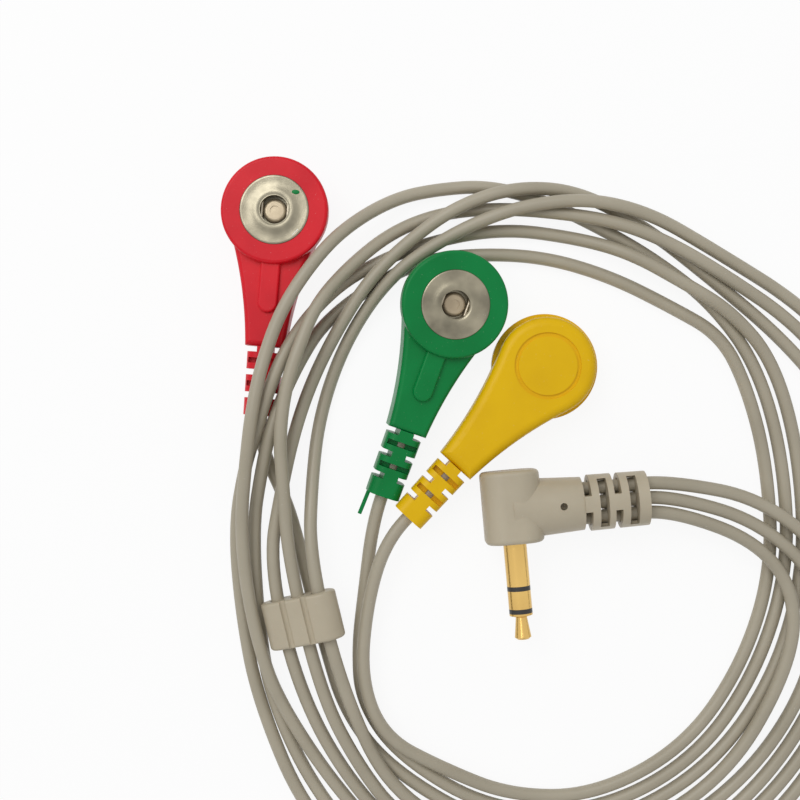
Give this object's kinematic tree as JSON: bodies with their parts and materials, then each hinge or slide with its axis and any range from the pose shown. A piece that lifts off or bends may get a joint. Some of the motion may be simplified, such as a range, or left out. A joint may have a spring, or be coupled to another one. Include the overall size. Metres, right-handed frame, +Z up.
{
  "type": "ecg electrode lead set",
  "caption": "ECG electrode lead set: right-angle jack plug, thin grey leads through a sliding comb, and snap connectors in red, green and yellow.",
  "frame": {"origin": "centre of the underside of the box round the plug, comb and connectors, on the surface that the set lies on", "axes": "+Z up from the surface, +Y from the plug towards the red connector, +X towards the side that the leads leave the plug on"},
  "size_m": [0.1054, 0.1191, 0.0097],
  "materials": {
    "red_shell": "semi-gloss moulded",
    "green_shell": "semi-gloss moulded",
    "yellow_shell": "semi-gloss moulded",
    "plug_shell": "satin moulded",
    "comb_shell": "satin moulded",
    "lead_jacket": "satin extruded",
    "nickel": "nickel plated",
    "spring": "drawn wire",
    "gold": "gold plated",
    "tin": "tinned",
    "copper": "bare strands",
    "black": "moulded"
  },
  "bodies": {
    "lead_set": {"plug_body": "plug_shell", "plug_core": "black", "plug_sleeve_contact": "gold", "plug_sleeve_insulator": "black", "plug_ring_contact": "gold", "plug_ring_insulator": "black", "plug_tip_contact": "gold", "plug_sleeve_tab": "tin", "plug_ring_tab": "tin", "plug_tip_tab": "tin", "plug_red_wire_end": "copper", "plug_yellow_wire_end": "copper", "plug_green_wire_end": "copper", "red_connector_body": "red_shell", "red_snap_socket": "nickel", "red_socket_post": "nickel", "red_socket_spring": "spring", "red_crimp_lug": "nickel", "red_wire_end": "copper", "green_connector_body": "green_shell", "green_snap_socket": "nickel", "green_socket_post": "nickel", "green_socket_spring": "spring", "green_crimp_lug": "nickel", "green_wire_end": "copper", "yellow_connector_body": "yellow_shell", "yellow_snap_socket": "nickel", "yellow_socket_post": "nickel", "yellow_socket_spring": "spring", "yellow_crimp_lug": "nickel", "yellow_wire_end": "copper", "lead_red": "lead_jacket", "lead_green": "lead_jacket", "lead_yellow": "lead_jacket"},
    "comb": {"lead_comb": "comb_shell"}
  },
  "joints": [
    {"name": "comb_slide", "type": "slide", "parent": "lead_set", "child": "comb", "axis": [0.2334, -0.9724, 0], "range_m": [-0.001, 0.0025]}
  ]
}
